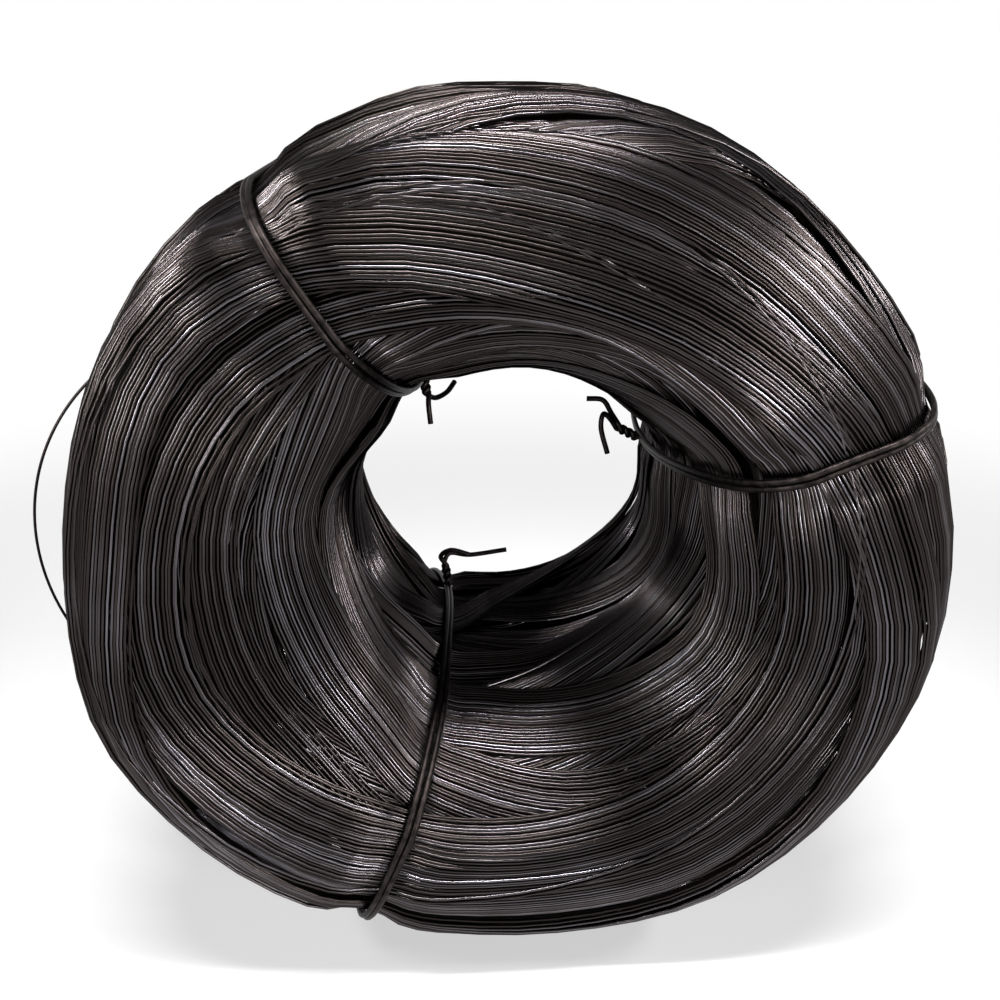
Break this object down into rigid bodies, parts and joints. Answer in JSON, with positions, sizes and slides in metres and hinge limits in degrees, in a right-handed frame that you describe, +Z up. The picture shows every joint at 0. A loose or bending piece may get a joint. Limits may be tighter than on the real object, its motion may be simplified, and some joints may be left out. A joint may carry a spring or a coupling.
{
  "type": "coil of spring steel wire",
  "caption": "Ring-shaped coil of dark steel wire standing on its rim, with flared ends, an open bore, doubled wire ties twisted in the bore and a few loose turns.",
  "frame": {"origin": "on the floor, under the middle of the whole part, loose turns included", "axes": "+Z up; Y along the coil's axis, which is its shortest extent; the pictured end faces -Y; +X to the right as seen in the picture"},
  "size_m": [0.4894, 0.326, 0.4698],
  "materials": {
    "spring_steel_wire": "hard-drawn spring steel with a dark oil-tempered scale and bright streaks where the wire faces the light",
    "black_tie_wire": "soft black annealed tie wire, nearly matt"
  },
  "bodies": {
    "root": {"wire_coil": "spring_steel_wire", "tie_wire_upper_left": "black_tie_wire", "tie_wire_right": "black_tie_wire", "tie_wire_lower": "black_tie_wire", "loose_turn_left": "spring_steel_wire", "loose_turn_lower_1": "spring_steel_wire", "loose_turn_lower_2": "spring_steel_wire", "loose_turn_lower_3": "spring_steel_wire"}
  },
  "joints": []
}
